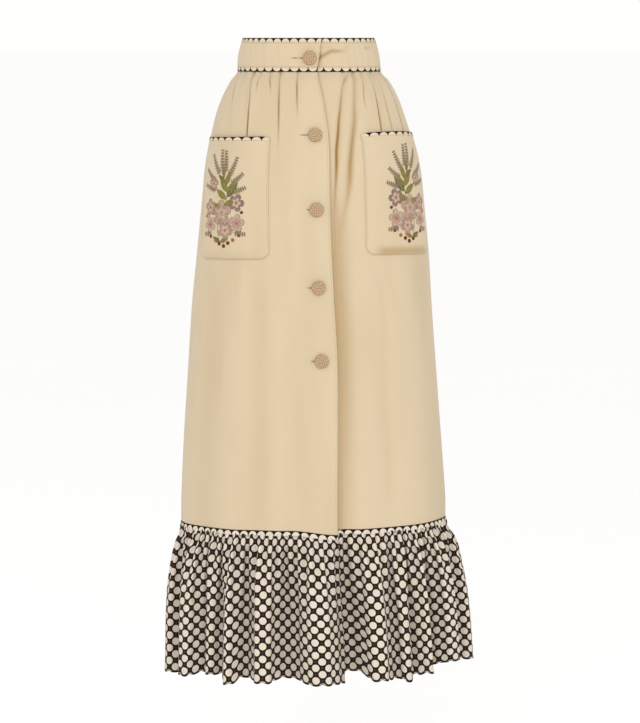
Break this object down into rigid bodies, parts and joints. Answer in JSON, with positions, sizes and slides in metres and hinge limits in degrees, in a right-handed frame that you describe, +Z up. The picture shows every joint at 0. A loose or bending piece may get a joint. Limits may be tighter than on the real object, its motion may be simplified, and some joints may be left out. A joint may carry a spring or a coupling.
{
  "type": "maxi skirt",
  "caption": "Long gathered skirt with a buttoned front, patch pockets, dotted trims and a gathered dotted flounce at the hem.",
  "frame": {"origin": "centre of the waistband at half its height, where the wearer's waist holds the skirt", "axes": "+Z up, the front faces -Y, +X is the wearer's left"},
  "size_m": [0.5131, 0.3735, 1.0433],
  "materials": {
    "buttermilk_cloth": "matte",
    "dotted_cloth": "matte",
    "button_straw": "woven"
  },
  "bodies": {
    "root": {"waistband": "buttermilk_cloth", "waist_trim_top": "dotted_cloth", "waist_trim_seam": "dotted_cloth", "front_right": "buttermilk_cloth", "front_left": "buttermilk_cloth", "back": "buttermilk_cloth", "pocket_right": "buttermilk_cloth", "pocket_left": "buttermilk_cloth", "pocket_trim_right": "dotted_cloth", "pocket_trim_left": "dotted_cloth", "hem_trim_right": "dotted_cloth", "hem_trim_left": "dotted_cloth", "hem_trim_back": "dotted_cloth", "flounce_right": "dotted_cloth", "flounce_left": "dotted_cloth", "flounce_back": "dotted_cloth", "button_1": "button_straw", "button_2": "button_straw", "button_3": "button_straw", "button_4": "button_straw", "button_5": "button_straw"}
  },
  "joints": []
}
